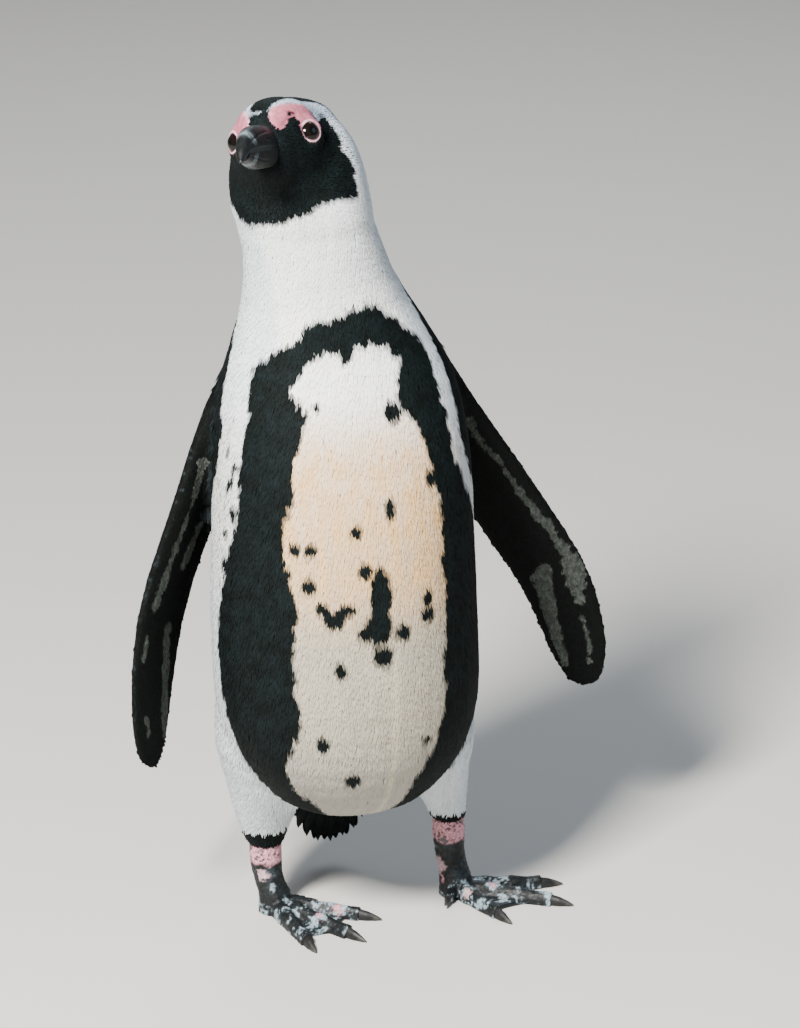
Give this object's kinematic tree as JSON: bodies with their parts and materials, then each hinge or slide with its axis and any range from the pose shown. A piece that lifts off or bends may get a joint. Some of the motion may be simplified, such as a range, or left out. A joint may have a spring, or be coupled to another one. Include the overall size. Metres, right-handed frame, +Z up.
{
  "type": "african penguin",
  "caption": "African penguin standing upright with its head turned to its right and its flippers held a little out, as a still life-size model.",
  "frame": {"origin": "on the ground under the middle of the whole bird's box", "axes": "+Z up, -Y the way the breast faces, +X towards the bird's left side"},
  "size_m": [0.323, 0.1858, 0.5428],
  "materials": {
    "plumage_black": "dense short black feathers with a slight blue-green sheen",
    "plumage_white": "dense short white feathers, cream on the breast",
    "flipper_feather": "tiny scale-like black feathers, mottled grey underneath",
    "bare_skin": "pebbled black skin with pale blue-grey and pink blotches on the feet, smooth pink skin round the eyes",
    "bill_horn": "satin black horn with fine grooves and a grey band",
    "claw_horn": "dark horn, paler at the tips",
    "eye": "wet, very dark brown"
  },
  "bodies": {
    "root": {"head": "plumage_black", "neck": "plumage_white", "trunk": "plumage_white", "tail": "plumage_black", "bill_upper": "bill_horn", "bill_lower": "bill_horn", "eye_left": "eye", "eye_right": "eye", "flipper_right": "flipper_feather", "flipper_left": "flipper_feather", "shank_right": "plumage_white", "shank_left": "plumage_white", "foot_right": "bare_skin", "claw_right_inner": "claw_horn", "claw_right_middle": "claw_horn", "claw_right_outer": "claw_horn", "claw_right_hind": "claw_horn", "foot_left": "bare_skin", "claw_left_inner": "claw_horn", "claw_left_middle": "claw_horn", "claw_left_outer": "claw_horn", "claw_left_hind": "claw_horn"}
  },
  "joints": []
}
